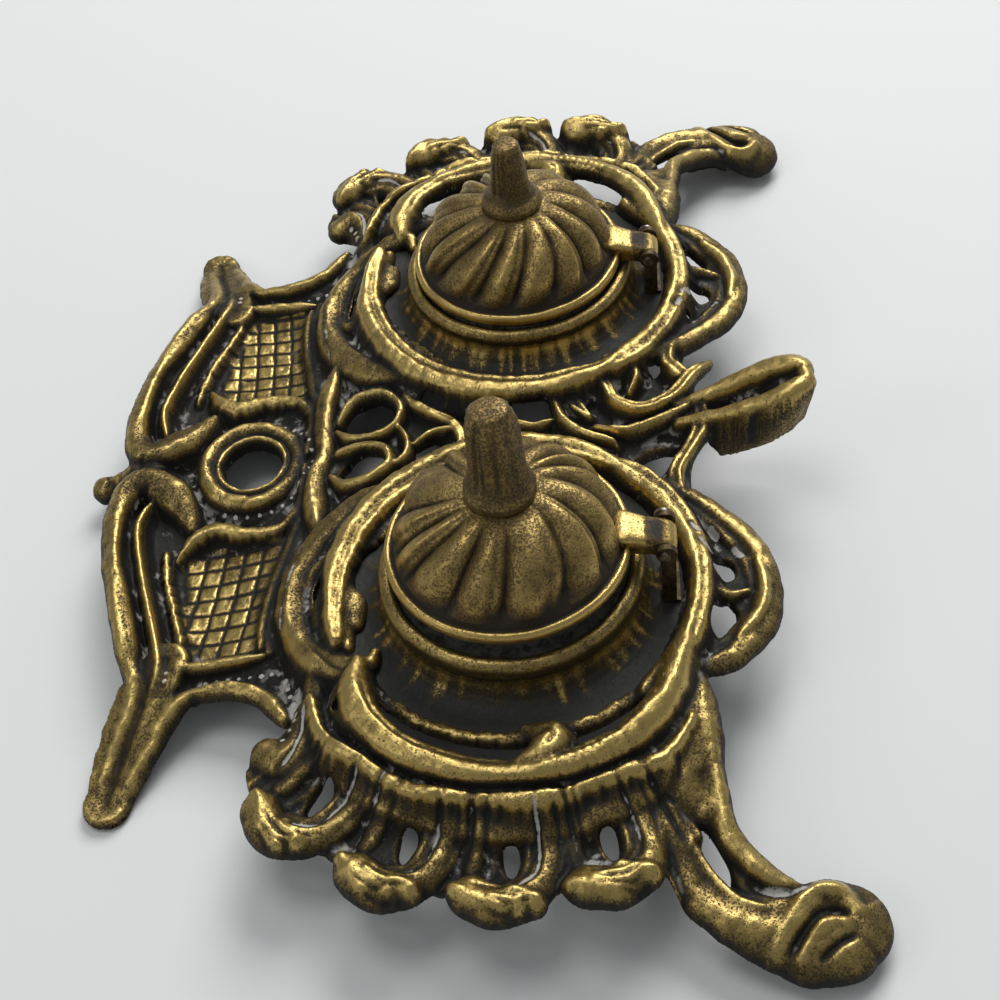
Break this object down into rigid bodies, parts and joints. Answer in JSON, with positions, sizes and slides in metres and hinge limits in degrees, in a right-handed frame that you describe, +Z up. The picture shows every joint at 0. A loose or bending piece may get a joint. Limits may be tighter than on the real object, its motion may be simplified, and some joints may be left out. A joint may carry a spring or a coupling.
{
  "type": "desk inkstand",
  "caption": "Pierced scroll-work brass desk inkstand with lidded wells, lift-out liners, an oval pen ring and a latticed front panel.",
  "frame": {"origin": "on the table, at the middle of the stand from end to end and from front to back", "axes": "+X along the row of wells towards the right-hand well, +Y to the back where the crest rises, +Z up"},
  "size_m": [0.2274, 0.1534, 0.0659],
  "materials": {
    "cast_brass": "antique cast brass, rubbed bright on the high points, near-black patina in the hollows",
    "lid_brass": "brown antique brass, rubbed on the gadroons",
    "finial_brass": "dark antique brass",
    "hinge_brass": "dull antique brass",
    "liner_glass": "clear pressed glass",
    "nut_steel": "dull, slightly rusted",
    "pin_steel": "dull"
  },
  "bodies": {
    "stand_body": {"stand": "cast_brass", "left_liner": "liner_glass", "right_liner": "liner_glass", "left_hinge_bracket": "hinge_brass", "right_hinge_bracket": "hinge_brass", "left_hinge_pin": "pin_steel", "right_hinge_pin": "pin_steel"},
    "left_lid_body": {"left_lid": "lid_brass", "left_finial": "finial_brass", "left_finial_nut": "nut_steel"},
    "right_lid_body": {"right_lid": "lid_brass", "right_finial": "finial_brass", "right_finial_nut": "nut_steel"}
  },
  "joints": [
    {"name": "left_lid_hinge", "type": "hinge", "parent": "stand_body", "child": "left_lid_body", "pos_m": [-0.042, 0.0427, 0.0278], "axis": [-1, 0, 0], "range_deg": [0, 100]},
    {"name": "right_lid_hinge", "type": "hinge", "parent": "stand_body", "child": "right_lid_body", "pos_m": [0.042, 0.0427, 0.0318], "axis": [-1, 0, 0], "range_deg": [0, 100]}
  ]
}
